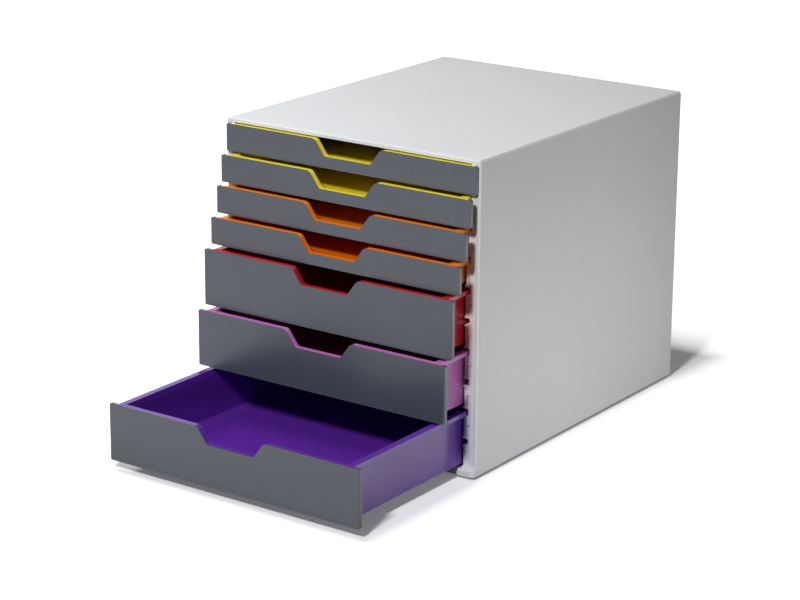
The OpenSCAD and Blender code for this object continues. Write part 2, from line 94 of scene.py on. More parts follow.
def node(tree, kind, inputs=None, **settings):
    """Adds a node with its settings and links. inputs maps a socket's name or number to its value, to the
    output or node that feeds it, or to a list of them. A node feeds by its first output in use."""
    made = tree.nodes.new(kind)
    for name, value in settings.items():
        setattr(made, name, value)
    for name, value in (inputs or {}).items():
        for source in value if isinstance(value, list) else [value]:
            if isinstance(source, bpy.types.Node):
                source = next(output for output in source.outputs if output.enabled)
            if isinstance(source, bpy.types.NodeSocket):
                tree.links.new(source, made.inputs[name])
            else:
                made.inputs[name].default_value = source
    return made


def new_material(name):
    """An empty material and its tree."""
    material = bpy.data.materials.new(name)
    material.use_nodes = True
    material.node_tree.nodes.clear()
    return material, material.node_tree


# How far apart a moulded piece's drifts of colour and its handled places lie, and the share by which
# handling changes its roughness
FLOW_SIZE, HANDLED_SIZE, HANDLED_SHARE = 90 * MM, 35 * MM, 0.15
# Polystyrene's own is 1.59, and the unit in the photograph has a slightly weaker sheen
PLASTIC_IOR = 1.52


def moulded_plastic(name, colour, shade, roughness, grain_mm, grain_height_mm):
    """Injection-moulded plastic. Its colour drifts a little towards shade over the piece, as flowing
    plastic does, its roughness varies where it has been handled, and the surface that the mould gave it
    is a low bump, grain_mm across and grain_height_mm high."""
    material, tree = new_material(name)
    place = node(tree, "ShaderNodeTexCoord").outputs["Object"]
    flow = node(tree, "ShaderNodeTexNoise", {"Vector": place, "Scale": 1 / FLOW_SIZE, "Detail": 2.0})
    tint = node(tree, "ShaderNodeMix", {
        "Factor": flow, "A": linear(colour), "B": linear(shade)}, data_type="RGBA")
    handled = node(tree, "ShaderNodeTexNoise", {"Vector": place, "Scale": 1 / HANDLED_SIZE, "Detail": 4.0})
    rough = node(tree, "ShaderNodeMapRange", {
        "Value": handled, "To Min": roughness * (1 - HANDLED_SHARE),
        "To Max": roughness * (1 + HANDLED_SHARE)})
    grain = node(tree, "ShaderNodeTexNoise", {
        "Vector": place, "Scale": 1 / (grain_mm * MM), "Detail": 3.0, "Roughness": 0.6})
    bump = node(tree, "ShaderNodeBump", {
        "Height": grain, "Strength": 1.0, "Distance": grain_height_mm * MM})
    shader = node(tree, "ShaderNodeBsdfPrincipled", {
        "Base Color": tint, "Roughness": rough, "Normal": bump, "IOR": PLASTIC_IOR})
    node(tree, "ShaderNodeOutputMaterial", {"Surface": shader})
    return material


# Polystyrene with a spark-eroded grain: matte, a pale cool grey. The real grain, about 0.2 mm across, is too
# fine to show, so it is drawn as coarse as it needs to be
casing_plastic = moulded_plastic(
    "polystyrene_grained_pale_grey", "#dcdee0", "#d6d8db", roughness=0.55, grain_mm=1.6, grain_height_mm=0.02)
# Polystyrene with a satin grain: the fronts catch broad soft highlights. This grain too is too fine to show,
# and is drawn coarser
front_plastic = moulded_plastic(
    "polystyrene_satin_slate_grey", "#434852", "#40454f", roughness=0.32, grain_mm=1.4, grain_height_mm=0.012)
# Polystyrene from a polished mould: the trays' colours are deep and lightly glossy, with the faint waviness
# of a polished wall. Each has its colour and the shade that it drifts towards
TRAY_COLOURS = {
    "yellow": ("#f7e43c", "#f2de32"), "orange": ("#ec8422", "#e77c1a"), "deep_orange": ("#ea7c16", "#e57410"),
    "red": ("#bb1a27", "#b21622"), "pink": ("#bf70b9", "#b969b3"), "purple": ("#5f2a9c", "#592697")}
tray_plastics = {
    name: moulded_plastic(
        f"polystyrene_polished_{name}", colour, shade, roughness=0.18, grain_mm=2.2, grain_height_mm=0.004)
    for name, (colour, shade) in TRAY_COLOURS.items()}


# The rubber's colour and that of its bloom, and how far apart and how high the bloom's patches are
RUBBER_BLACK, RUBBER_BLOOM = "#1c1c1d", "#303031"
BLOOM_SIZE, BLOOM_HEIGHT = 6 * MM, 0.05 * MM


def moulded_rubber():
    """Thermoplastic rubber: black, matte, with a faint bloom of grey."""
    material, tree = new_material("rubber_moulded_black")
    place = node(tree, "ShaderNodeTexCoord").outputs["Object"]
    bloom = node(tree, "ShaderNodeTexNoise", {"Vector": place, "Scale": 1 / BLOOM_SIZE, "Detail": 5.0})
    tint = node(tree, "ShaderNodeMix", {
        "Factor": bloom, "A": linear(RUBBER_BLACK), "B": linear(RUBBER_BLOOM)}, data_type="RGBA")
    bump = node(tree, "ShaderNodeBump", {"Height": bloom, "Strength": 1.0, "Distance": BLOOM_HEIGHT})
    shader = node(tree, "ShaderNodeBsdfPrincipled", {"Base Color": tint, "Roughness": 0.8, "Normal": bump})
    node(tree, "ShaderNodeOutputMaterial", {"Surface": shader})
    return material


# The plating's colour where it is bright and where it is dull, how rough it is there, and how far apart its
# mottles lie
ZINC_BRIGHT, ZINC_DULL = "#b4b6b8", "#989a9e"
BRIGHT_ROUGHNESS, DULL_ROUGHNESS = 0.25, 0.42
MOTTLE_SIZE = 1.2 * MM


def zinc_plated_steel():
    """Zinc-plated steel screws: a bright grey metal with a faint mottled plating."""
    material, tree = new_material("steel_zinc_plated")
    place = node(tree, "ShaderNodeTexCoord").outputs["Object"]
    plating = node(tree, "ShaderNodeTexNoise", {"Vector": place, "Scale": 1 / MOTTLE_SIZE, "Detail": 3.0})
    tint = node(tree, "ShaderNodeMix", {
        "Factor": plating, "A": linear(ZINC_BRIGHT), "B": linear(ZINC_DULL)}, data_type="RGBA")
    rough = node(tree, "ShaderNodeMapRange", {
        "Value": plating, "To Min": BRIGHT_ROUGHNESS, "To Max": DULL_ROUGHNESS})
    shader = node(tree, "ShaderNodeBsdfPrincipled", {"Base Color": tint, "Roughness": rough, "Metallic": 1.0})
    node(tree, "ShaderNodeOutputMaterial", {"Surface": shader})
    return material


rubber = moulded_rubber()
zinc = zinc_plated_steel()


# Pieces that keep their CAD shape

# Faces that turn by less than the first angle are joined, and edges that turn by more than the second are
# sharp
FLAT_ANGLE, SHARP_ANGLE = math.radians(0.5), math.radians(32)
# Corners of a CAD node's triangles that lie closer together than this are one corner
SAME_CORNER = 0.002 * MM
# Width of the softened edges, and the number of steps across them where it isn't the usual one
CASING_EDGES_MM = {
    "outer_shell": 0.4, "base_plate": 0.3, "back_panel": 0.3, "left_runner": 0.15, "right_runner": 0.15}
TRAY_EDGE_MM, TRAY_EDGE_STEPS = 0.5, 3
FRONT_EDGE_MM = 0.35
FOOT_EDGE_MM, FOOT_EDGE_STEPS = 0.6, 4
# Each drawer's tray and front, and the tray's colour and slot
DRAWERS = [
    ("shallow_tray_1", "shallow_front_1", "yellow", "tray_yellow"),
    ("shallow_tray_2", "shallow_front_2", "yellow", "tray_yellow"),
    ("shallow_tray_3", "shallow_front_3", "orange", "tray_orange"),
    ("shallow_tray_4", "shallow_front_4", "deep_orange", "tray_orange"),
    ("deep_tray_5", "deep_front_5", "red", "tray_red"),
    ("deep_tray_6", "deep_front_6", "pink", "tray_pink"),
    ("deep_tray_7", "deep_front_7", "purple", "tray_purple")]


def stand_in(node_name, name, mesh, edge_mm=0, steps=2):
    """A piece with this mesh that stands for a CAD node. Its sharp edges are rounded by edge_mm."""
    mesh.shade_smooth()
    mesh.set_sharp_from_angle(angle=SHARP_ANGLE)
    piece = bpy.data.objects.new(name, mesh)
    bpy.context.scene.collection.objects.link(piece)
    if edge_mm:
        bevel = piece.modifiers.new("softened_edges", "BEVEL")
        bevel.width = edge_mm * MM
        bevel.segments = steps
        bevel.limit_method = "ANGLE"
        bevel.angle_limit = SHARP_ANGLE
    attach(piece, frame["nodes"][node_name]["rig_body"])
    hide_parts(node_name)


def dressed(name, material, edge_mm, steps=2):
    """A merged copy of a CAD node with its edges softened by edge_mm. It stands for the node."""
    source = frame["nodes"][name]
    shape = bmesh.new()
    shape.from_mesh(source.data)
    bmesh.ops.remove_doubles(shape, verts=shape.verts, dist=SAME_CORNER)
    bmesh.ops.dissolve_limit(shape, angle_limit=FLAT_ANGLE, verts=shape.verts, edges=shape.edges)
    mesh = bpy.data.meshes.new(name + "_moulding")
    shape.to_mesh(mesh)
    shape.free()
    mesh.materials.append(material)
    stand_in(name, name + "_moulding", mesh, edge_mm, steps)


for piece_name, edge in CASING_EDGES_MM.items():
    dressed(piece_name, casing_plastic, edge)
for tray, front, colour, slot in DRAWERS:
    dressed(tray, tray_plastics[colour], TRAY_EDGE_MM, TRAY_EDGE_STEPS)


# Pieces made with Geometry Nodes

# A foot's pad and stem, a screw's head and shank, and how many sides each of them has
FOOT_R, FOOT_STEM_R, FOOT_STEM_H = 8 * MM, 2.8 * MM, 4 * MM
SCREW_HEAD_R, SCREW_HEAD_H, SCREW_SHANK_R = 2.6 * MM, 1.8 * MM, 1.2 * MM
PAD_SIDES, STEM_SIDES, HEAD_SIDES, SHANK_SIDES = 64, 32, 48, 24
# How much lower the rim of a screw's head is than its middle, and the size of its cross recess
SCREW_RIM_DROP, SCREW_RECESS_L, SCREW_RECESS_W, SCREW_RECESS_D = 0.7 * MM, 3.0 * MM, 0.7 * MM, 0.9 * MM
# Rings that carry the shape of a head's dome: up its side and across its crown
HEAD_STEPS, HEAD_RINGS = 4, 8
# Power of the distance from the axis that gives the flat crown and quick fall of a pan head
PAN_HEAD_POWER = 4.0
# How far a stem or shank runs on into its pad or head, so that the two join as one solid
OVERRUN = 0.2 * MM
# A drawer front: its width, thickness and corners, its upright edges at the face and at the back, and the
# finger notch, wider at its mouth in the top edge than at its floor
FRONT_W, FRONT_T, FRONT_CORNER_R = 276.8 * MM, 3.8 * MM, 2.5 * MM
FACE_EDGE_R, BACK_EDGE_R = 1.6 * MM, 0.4 * MM
NOTCH_MOUTH_W, NOTCH_FLOOR_W, NOTCH_DEPTH = 73 * MM, 51 * MM, 15 * MM
NOTCH_MOUTH_R, NOTCH_FLOOR_R = 6 * MM, 4 * MM
# Points on each rounded corner, of the outline seen from the front and of the plan seen from above
OUTLINE_CORNER_POINTS, PLAN_CORNER_POINTS = 8, 6
# The rebate behind a front's top edge, which the tray's coloured lip fills: how thick the skin before it is,
# how far it goes in, and how far from the front's ends it stops
SKIN_T, REBATE, REBATE_END = 0.6 * MM, 1.7 * MM, 4 * MM
# The two clips on a front's back: width, depth and height of the arm and of the hook, how far behind the
# front and above its lower edge the corner lies that they share, and how far apart the clips are
CLIP_ARM, CLIP_HOOK = (9 * MM, 4.7 * MM, 1.6 * MM), (9 * MM, 1.6 * MM, 2.5 * MM)
CLIP_REACH, CLIP_UP, CLIP_SPACING = 4.2 * MM, 8.7 * MM, 160 * MM
# How far a cutting solid stands out past what it cuts, and how much wider an outline is at each end than
# the plan that trims it, so that the two don't meet face to face
BEYOND, HAIR = 1 * MM, 0.01 * MM


def sized_tree(name, sizes):
    """A Geometry Nodes tree with a named input for each of sizes. Also gives the outputs that carry them."""
    kinds = {int: "NodeSocketInt", float: "NodeSocketFloat", tuple: "NodeSocketVector"}
    tree = bpy.data.node_groups.new(name, "GeometryNodeTree")
    for label, value in sizes.items():
        tree.interface.new_socket(label, in_out="INPUT", socket_type=kinds[type(value)])
    tree.interface.new_socket("Geometry", in_out="OUTPUT", socket_type="NodeSocketGeometry")
    return tree, tree.nodes.new("NodeGroupInput").outputs


def end_tree(tree, geometry, material):
    """Ends a tree with plain geometry of one material."""
    plain = node(tree, "GeometryNodeRealizeInstances", {"Geometry": geometry})
    finished = node(tree, "GeometryNodeSetMaterial", {"Geometry": plain, "Material": material})
    node(tree, "NodeGroupOutput", {"Geometry": finished})


def set_out(tree, size, item, material):
    """Ends a tree: copies of item stand on a grid of points, and the whole set is turned and placed."""
    grid = node(tree, "GeometryNodeMeshGrid", {
        "Size X": size["Grid X"], "Size Y": size["Grid Y"],
        "Vertices X": size["Columns"], "Vertices Y": size["Rows"]})
    standing = node(tree, "GeometryNodeInstanceOnPoints", {"Points": grid, "Instance": item})
    placed = node(tree, "GeometryNodeTransform", {
        "Geometry": standing, "Translation": size["Centre"], "Rotation": size["Turn"]})
    end_tree(tree, placed, material)


def grown(node_name, tree, sizes, edge_mm=0, steps=2):
    """Turns what a tree makes with these sizes into a plain mesh, which stands for the CAD node."""
    maker = bpy.data.objects.new(node_name + "_maker", bpy.data.meshes.new(node_name + "_maker"))
    bpy.context.scene.collection.objects.link(maker)
    modifier = maker.modifiers.new("sizes", "NODES")
    modifier.node_group = tree
    for item in tree.interface.items_tree:
        if item.in_out == "INPUT":
            modifier[item.identifier] = sizes[item.name]
    made = maker.evaluated_get(bpy.context.evaluated_depsgraph_get())
    mesh = bpy.data.meshes.new_from_object(made)
    bpy.data.objects.remove(maker)
    stand_in(node_name, node_name + "_grown", mesh, edge_mm, steps)


def notched_solid(tree, size, inset, back, face):
    """A solid with a drawer front's outline, whose top edge and notch are moved inwards by inset. back and
    face say how far before the back of the front it starts and ends."""
    half_w = node(tree, "ShaderNodeMath", {0: size["Width"], 1: 0.5, 2: HAIR}, operation="MULTIPLY_ADD")
    high = node(tree, "ShaderNodeMath", {0: size["Height"], 1: inset}, operation="SUBTRACT")
    notch_low = node(tree, "ShaderNodeMath", {0: high, 1: size["Notch Depth"]}, operation="SUBTRACT")
    # The notch grows sideways by so much that its slopes too move by inset, square to themselves
    narrowing = node(tree, "ShaderNodeMath", {
        0: size["Notch Mouth"], 1: size["Notch Floor"]}, operation="SUBTRACT")
    lean = node(tree, "ShaderNodeMath", {0: narrowing, 1: 0.5}, operation="MULTIPLY")
    slope = node(tree, "ShaderNodeCombineXYZ", {"X": lean, "Y": size["Notch Depth"]})
    slope_l = node(tree, "ShaderNodeVectorMath", {0: slope}, operation="LENGTH")
    spare = node(tree, "ShaderNodeMath", {0: slope_l, 1: lean}, operation="SUBTRACT")
    growth = node(tree, "ShaderNodeMath", {0: spare, 1: size["Notch Depth"]}, operation="DIVIDE")
    widen = node(tree, "ShaderNodeMath", {0: growth, 1: inset}, operation="MULTIPLY")
    mouth = node(tree, "ShaderNodeMath", {0: size["Notch Mouth"], 1: 0.5, 2: widen}, operation="MULTIPLY_ADD")
    floor = node(tree, "ShaderNodeMath", {0: size["Notch Floor"], 1: 0.5, 2: widen}, operation="MULTIPLY_ADD")
    mouth_r = node(tree, "ShaderNodeMath", {0: size["Mouth Radius"], 1: inset}, operation="SUBTRACT")
    floor_r = node(tree, "ShaderNodeMath", {0: size["Floor Radius"], 1: inset}, operation="ADD")
    # Each corner is a vector of its place across and up and of its radius
    right = [node(tree, "ShaderNodeCombineXYZ", {"X": x, "Y": y, "Z": radius}) for x, y, radius in (
        (half_w, 0.0, size["Corner Radius"]), (half_w, high, size["Corner Radius"]),
        (mouth, high, mouth_r), (floor, notch_low, floor_r))]
    left = [node(tree, "ShaderNodeVectorMath", {
        0: corner, 1: (-1, 1, 1)}, operation="MULTIPLY") for corner in reversed(right)]
    number = node(tree, "GeometryNodeInputIndex")
    corner = node(tree, "GeometryNodeIndexSwitch", {"Index": number}, data_type="VECTOR")
    for i, choice in enumerate(right + left):
        if str(i) not in corner.inputs:
            corner.index_switch_items.new()
        tree.links.new(choice.outputs["Vector"], corner.inputs[str(i)])
    flat = node(tree, "ShaderNodeVectorMath", {0: corner, 1: (1, 1, 0)}, operation="MULTIPLY")
    radius = node(tree, "ShaderNodeSeparateXYZ", {"Vector": corner}).outputs["Z"]
    line = node(tree, "GeometryNodeMeshLine", {"Count": len(right + left)})
    bent = node(tree, "GeometryNodeSetPosition", {"Geometry": line, "Position": flat})
    curve = node(tree, "GeometryNodeMeshToCurve", {"Mesh": bent})
    loop = node(tree, "GeometryNodeSetSplineCyclic", {"Geometry": curve, "Cyclic": True})
    rounded = node(tree, "GeometryNodeFilletCurve", {
        "Curve": loop, "Count": OUTLINE_CORNER_POINTS, "Radius": radius}, mode="POLY")
    way = node(tree, "GeometryNodeCurvePrimitiveLine", {
        "Start": node(tree, "ShaderNodeCombineXYZ", {"Z": back}),
        "End": node(tree, "ShaderNodeCombineXYZ", {"Z": face})})
    lying = node(tree, "GeometryNodeCurveToMesh", {"Curve": way, "Profile Curve": rounded, "Fill Caps": True})
    return node(tree, "GeometryNodeTransform", {"Geometry": lying, "Rotation": (math.radians(90), 0, 0)})


def plan_solid(tree, size):
    """An upright solid with a drawer front's plan, whose edges are rounder at the face than at the back."""
    plan = node(tree, "GeometryNodeCurvePrimitiveQuadrilateral", {
        "Width": size["Width"], "Height": size["Thickness"]})
    along = node(tree, "ShaderNodeSeparateXYZ", {
        "Vector": node(tree, "GeometryNodeInputPosition")}).outputs["Y"]
    at_back = node(tree, "ShaderNodeMath", {0: along, 1: 0.0}, operation="GREATER_THAN")
    radius = node(tree, "ShaderNodeMapRange", {
        "Value": at_back, "To Min": size["Face Edge Radius"], "To Max": size["Back Edge Radius"]})
    rounded = node(tree, "GeometryNodeFilletCurve", {
        "Curve": plan, "Count": PLAN_CORNER_POINTS, "Radius": radius}, mode="POLY")
    top = node(tree, "ShaderNodeMath", {0: size["Height"], 1: BEYOND}, operation="ADD")
    way = node(tree, "GeometryNodeCurvePrimitiveLine", {
        "Start": (0, 0, -BEYOND), "End": node(tree, "ShaderNodeCombineXYZ", {"Z": top})})
    upright = node(tree, "GeometryNodeCurveToMesh", {
        "Curve": way, "Profile Curve": rounded, "Fill Caps": True})
    middle = node(tree, "ShaderNodeMath", {0: size["Thickness"], 1: -0.5}, operation="MULTIPLY")
    return node(tree, "GeometryNodeTransform", {
        "Geometry": upright, "Translation": node(tree, "ShaderNodeCombineXYZ", {"Y": middle})})


def rebate_cut(tree, size):
    """What is cut away behind the skin for the tray's lip: a bar over the top edge, less the front's
    outline moved inwards."""
    across = node(tree, "ShaderNodeMath", {
        0: size["Rebate End"], 1: -2.0, 2: size["Width"]}, operation="MULTIPLY_ADD")
    deep = node(tree, "ShaderNodeMath", {0: size["Thickness"], 1: size["Skin"]}, operation="SUBTRACT")
    both_ways = node(tree, "ShaderNodeMath", {0: deep, 1: 2.0}, operation="MULTIPLY")
    below = node(tree, "ShaderNodeMath", {0: size["Notch Depth"], 1: size["Rebate"]}, operation="ADD")
    up_and_down = node(tree, "ShaderNodeMath", {0: below, 1: 2.0, 2: BEYOND}, operation="MULTIPLY_ADD")
    bar = node(tree, "GeometryNodeMeshCube", {
        "Size": node(tree, "ShaderNodeCombineXYZ", {"X": across, "Y": both_ways, "Z": up_and_down})})
    at_edge = node(tree, "GeometryNodeTransform", {
        "Geometry": bar, "Translation": node(tree, "ShaderNodeCombineXYZ", {"Z": size["Height"]})})
    # What is kept runs from well behind the bar to a little before it
    past_skin = node(tree, "ShaderNodeMath", {0: deep, 1: BEYOND}, operation="ADD")
    kept = notched_solid(tree, size, size["Rebate"], -2 * FRONT_T, past_skin)
    return node(tree, "GeometryNodeMeshBoolean", {
        "Mesh 1": at_edge, "Mesh 2": kept}, operation="DIFFERENCE", solver="EXACT")


def clip_pair(tree, size):
    """Two clips, each an arm with a hook at its end. The two bars share their lower corner at the back."""
    corner = node(tree, "ShaderNodeCombineXYZ", {"Y": size["Clip Reach"], "Z": size["Clip Up"]})
    bars = []
    for label in ("Clip Arm", "Clip Hook"):
        bar = node(tree, "GeometryNodeMeshCube", {"Size": size[label]})
        middle = node(tree, "ShaderNodeVectorMath", {
            0: size[label], 1: (0, -0.5, 0.5), 2: corner}, operation="MULTIPLY_ADD")
        bars.append(node(tree, "GeometryNodeTransform", {"Geometry": bar, "Translation": middle}))
    clip = node(tree, "GeometryNodeMeshBoolean", {"Mesh 2": bars}, operation="UNION", solver="EXACT")
    first = node(tree, "ShaderNodeMath", {0: size["Clip Spacing"], 1: -0.5}, operation="MULTIPLY")
    row = node(tree, "GeometryNodeMeshLine", {
        "Count": 2, "Start Location": node(tree, "ShaderNodeCombineXYZ", {"X": first}),
        "Offset": node(tree, "ShaderNodeCombineXYZ", {"X": size["Clip Spacing"]})})
    pair = node(tree, "GeometryNodeInstanceOnPoints", {"Points": row, "Instance": clip})
    return node(tree, "GeometryNodeRealizeInstances", {"Geometry": pair})


def drawer_fronts(names):
    """The grey fronts, all from one tree. They differ in height and place only, which are filled in for each
    of them from its CAD node."""
    sizes = {
        "Width": FRONT_W, "Height": 0.0, "Thickness": FRONT_T, "Corner Radius": FRONT_CORNER_R,
        "Face Edge Radius": FACE_EDGE_R, "Back Edge Radius": BACK_EDGE_R,
        "Notch Mouth": NOTCH_MOUTH_W, "Notch Floor": NOTCH_FLOOR_W, "Notch Depth": NOTCH_DEPTH,
        "Mouth Radius": NOTCH_MOUTH_R, "Floor Radius": NOTCH_FLOOR_R,
        "Skin": SKIN_T, "Rebate": REBATE, "Rebate End": REBATE_END,
        "Clip Arm": CLIP_ARM, "Clip Hook": CLIP_HOOK, "Clip Reach": CLIP_REACH, "Clip Up": CLIP_UP,
        "Clip Spacing": CLIP_SPACING, "Place": (0.0, 0.0, 0.0)}
    tree, size = sized_tree("drawer_front", sizes)
    past_face = node(tree, "ShaderNodeMath", {0: size["Thickness"], 1: BEYOND}, operation="ADD")
    outline = notched_solid(tree, size, 0.0, -BEYOND, past_face)
    plate = node(tree, "GeometryNodeMeshBoolean", {
        "Mesh 2": [outline, plan_solid(tree, size)]}, operation="INTERSECT", solver="EXACT")
    rebated = node(tree, "GeometryNodeMeshBoolean", {
        "Mesh 1": plate, "Mesh 2": rebate_cut(tree, size)}, operation="DIFFERENCE", solver="EXACT")
    whole = node(tree, "GeometryNodeMeshBoolean", {
        "Mesh 2": [rebated, clip_pair(tree, size)]}, operation="UNION", solver="EXACT")
    end_tree(tree, node(tree, "GeometryNodeTransform", {
        "Geometry": whole, "Translation": size["Place"]}), front_plastic)
    for name in names:
        low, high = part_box(name)
        sizes["Height"] = high[Z] - low[Z]
        sizes["Place"] = ((low[X] + high[X]) / 2, low[Y] + FRONT_T, low[Z])
        grown(name, tree, sizes, FRONT_EDGE_MM)


def spread(low, high, across, along, radius, columns, rows):
    """Named sizes of a grid whose outermost items, of this radius, touch a box's sides. across and along
    are the box's axes that the columns and rows follow."""
    return {
        "Grid X": high[across] - low[across] - 2 * radius, "Grid Y": high[along] - low[along] - 2 * radius,
        "Columns": columns, "Rows": rows}


def feet():
    """Four pads under the corners of the base plate, each with a stem that holds it in its hole."""
    low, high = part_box("feet")
    total = high[Z] - low[Z]
    sizes = {
        **spread(low, high, X, Y, FOOT_R, columns=2, rows=2),
        "Radius": FOOT_R, "Pad Height": total - FOOT_STEM_H,
        "Stem Radius": FOOT_STEM_R, "Stem Length": FOOT_STEM_H + OVERRUN, "Total Height": total,
        "Centre": ((low[X] + high[X]) / 2, (low[Y] + high[Y]) / 2, low[Z]), "Turn": (0.0, 0.0, 0.0)}
    tree, size = sized_tree("feet", sizes)
    pad = node(tree, "GeometryNodeMeshCylinder", {
        "Vertices": PAD_SIDES, "Radius": size["Radius"], "Depth": size["Pad Height"]})
    pad_middle = node(tree, "ShaderNodeMath", {0: size["Pad Height"], 1: 0.5}, operation="MULTIPLY")
    pad_up = node(tree, "GeometryNodeTransform", {
        "Geometry": pad, "Translation": node(tree, "ShaderNodeCombineXYZ", {"Z": pad_middle})})
    stem = node(tree, "GeometryNodeMeshCylinder", {
        "Vertices": STEM_SIDES, "Radius": size["Stem Radius"], "Depth": size["Stem Length"]})
    stem_middle = node(tree, "ShaderNodeMath", {
        0: size["Stem Length"], 1: -0.5, 2: size["Total Height"]}, operation="MULTIPLY_ADD")
    stem_up = node(tree, "GeometryNodeTransform", {
        "Geometry": stem, "Translation": node(tree, "ShaderNodeCombineXYZ", {"Z": stem_middle})})
    foot = node(tree, "GeometryNodeMeshBoolean", {
        "Mesh 2": [pad_up, stem_up]}, operation="UNION", solver="EXACT")
    set_out(tree, size, foot, rubber)
    grown("feet", tree, sizes, FOOT_EDGE_MM, FOOT_EDGE_STEPS)


def pan_head_screw(tree, size):
    """A screw along Z whose head's seat is at zero: a domed head with a cross recess, and a shank below."""
    head = node(tree, "GeometryNodeMeshCylinder", {
        "Vertices": HEAD_SIDES, "Side Segments": HEAD_STEPS, "Fill Segments": HEAD_RINGS,
        "Radius": size["Head Radius"], "Depth": size["Head Height"]})
    head_middle = node(tree, "ShaderNodeMath", {0: size["Head Height"], 1: 0.5}, operation="MULTIPLY")
    head_up = node(tree, "GeometryNodeTransform", {
        "Geometry": head, "Translation": node(tree, "ShaderNodeCombineXYZ", {"Z": head_middle})})
    # The cylinder is made a dome. A point drops by its share of the way out from the axis, raised to a power,
    # times its share of the way up, so the middle of the crown stays flat and so does the seat
    place = node(tree, "GeometryNodeInputPosition")
    level = node(tree, "ShaderNodeVectorMath", {0: place, 1: (1, 1, 0)}, operation="MULTIPLY")
    from_axis = node(tree, "ShaderNodeVectorMath", {0: level}, operation="LENGTH")
    share = node(tree, "ShaderNodeMath", {0: from_axis, 1: size["Head Radius"]}, operation="DIVIDE")
    fall = node(tree, "ShaderNodeMath", {0: share, 1: PAN_HEAD_POWER}, operation="POWER")
    up = node(tree, "ShaderNodeSeparateXYZ", {"Vector": place}).outputs["Z"]
    rise = node(tree, "ShaderNodeMath", {0: up, 1: size["Head Height"]}, operation="DIVIDE")
    drop = node(tree, "ShaderNodeMath", {0: fall, 1: rise}, operation="MULTIPLY")
    rim_drop = node(tree, "ShaderNodeMath", {0: drop, 1: size["Rim Drop"]}, operation="MULTIPLY")
    down = node(tree, "ShaderNodeVectorMath", {0: (0, 0, -1), "Scale": rim_drop}, operation="SCALE")
    domed = node(tree, "GeometryNodeSetPosition", {"Geometry": head_up, "Offset": down})
    shank = node(tree, "GeometryNodeMeshCylinder", {
        "Vertices": SHANK_SIDES, "Radius": size["Shank Radius"], "Depth": size["Shank Length"]})
    shank_middle = node(tree, "ShaderNodeMath", {
        0: size["Shank Length"], 1: -0.5, 2: OVERRUN}, operation="MULTIPLY_ADD")
    shank_down = node(tree, "GeometryNodeTransform", {
        "Geometry": shank, "Translation": node(tree, "ShaderNodeCombineXYZ", {"Z": shank_middle})})
    whole = node(tree, "GeometryNodeMeshBoolean", {
        "Mesh 2": [domed, shank_down]}, operation="UNION", solver="EXACT")
    blade = node(tree, "GeometryNodeMeshCube", {"Size": size["Recess Blade"]})
    along = node(tree, "GeometryNodeTransform", {
        "Geometry": blade, "Translation": node(tree, "ShaderNodeCombineXYZ", {"Z": size["Head Height"]})})
    across = node(tree, "GeometryNodeTransform", {"Geometry": along, "Rotation": (0, 0, math.radians(90))})
    return node(tree, "GeometryNodeMeshBoolean", {
        "Mesh 1": whole, "Mesh 2": [along, across]}, operation="DIFFERENCE", solver="EXACT")


def screws(node_name, across, along, out, sign, columns, rows, turn):
    """Pan-head screws on a grid. across and along are the box's axes that the columns and rows follow, out
    is the axis that the screws lie on, and sign says to which of its ends their heads point."""
    low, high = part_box(node_name)
    centre = [(low[axis] + high[axis]) / 2 for axis in (X, Y, Z)]
    centre[out] = (high if sign > 0 else low)[out] - sign * SCREW_HEAD_H
    sizes = {
        **spread(low, high, across, along, SCREW_HEAD_R, columns, rows),
        "Head Radius": SCREW_HEAD_R, "Head Height": SCREW_HEAD_H, "Rim Drop": SCREW_RIM_DROP,
        "Shank Radius": SCREW_SHANK_R, "Shank Length": high[out] - low[out] - SCREW_HEAD_H + OVERRUN,
        "Recess Blade": (SCREW_RECESS_L, SCREW_RECESS_W, 2 * SCREW_RECESS_D),
        "Centre": tuple(centre), "Turn": turn}
    tree, size = sized_tree(node_name, sizes)
    set_out(tree, size, pan_head_screw(tree, size), zinc)
    grown(node_name, tree, sizes)


drawer_fronts([front for tray, front, colour, slot in DRAWERS])
feet()
screws(
    "back_screws", across=X, along=Z, out=Y, sign=1, columns=2, rows=3, turn=(math.radians(-90), 0.0, 0.0))
screws(
    "base_screws", across=X, along=Y, out=Z, sign=-1, columns=2, rows=2, turn=(math.radians(180), 0.0, 0.0))


# Camera

# Where it stands, how it is turned in degrees, and its view in pixels of the photograph's frame
CAMERA_PLACE = (1.24604, -1.77621, 0.79235)
CAMERA_YAW, CAMERA_PITCH, CAMERA_ROLL = -35.21, -15.82, 0.47
IMAGE_WIDTH = 800
FOCAL_LENGTH_PX = 2426.6
SHIFT_DOWN_PX = 60
SENSOR_WIDTH_MM = 36


def look():
    """The camera at the photograph's angle. A small shift down lets it tilt less, which holds the unit's
    sides closer to upright."""
    yaw, pitch, roll = (math.radians(a) for a in (CAMERA_YAW, CAMERA_PITCH, CAMERA_ROLL))
    ahead = Vector((math.sin(yaw) * math.cos(pitch), math.cos(yaw) * math.cos(pitch), math.sin(pitch)))
    level = Vector((math.cos(yaw), -math.sin(yaw), 0))
    upright = level.cross(ahead)
    right = math.cos(roll) * level + math.sin(roll) * upright
    above = -math.sin(roll) * level + math.cos(roll) * upright
    data = bpy.data.cameras.new("camera")
    data.sensor_width = SENSOR_WIDTH_MM
    data.lens = FOCAL_LENGTH_PX * SENSOR_WIDTH_MM / IMAGE_WIDTH
    data.shift_y = -SHIFT_DOWN_PX / IMAGE_WIDTH
    camera = bpy.data.objects.new("camera", data)
    bpy.context.scene.collection.objects.link(camera)
    turned = Matrix((right, above, -ahead)).transposed().to_4x4()
    camera.matrix_world = Matrix.Translation(CAMERA_PLACE) @ turned
    bpy.context.scene.camera = camera


look()


# Floor, lights and background

